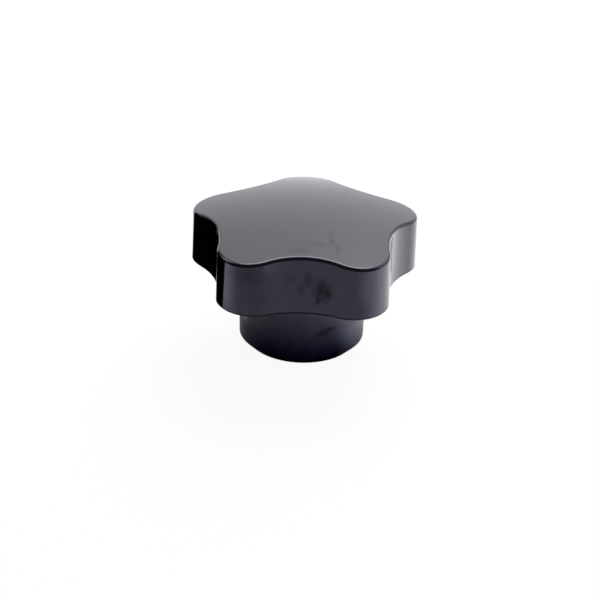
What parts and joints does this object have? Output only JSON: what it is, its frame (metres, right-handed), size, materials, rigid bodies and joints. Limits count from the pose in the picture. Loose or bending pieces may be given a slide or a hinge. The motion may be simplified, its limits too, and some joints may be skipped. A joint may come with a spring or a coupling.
{
  "type": "star knob",
  "caption": "Star-shaped hand knob with rounded lobes, a crowned top and a stepped round hub, moulded round a blind threaded brass bush.",
  "frame": {"origin": "centre of the hub's foot, where the knob seats on what it clamps", "axes": "+Z is the knob's axis, from the foot up to the crowned top; one lobe points along +Y"},
  "size_m": [0.0482, 0.0466, 0.0304],
  "materials": {
    "phenolic": "gloss",
    "brass": "satin"
  },
  "bodies": {
    "root": {"knob_body": "phenolic", "threaded_insert": "brass"}
  },
  "joints": []
}
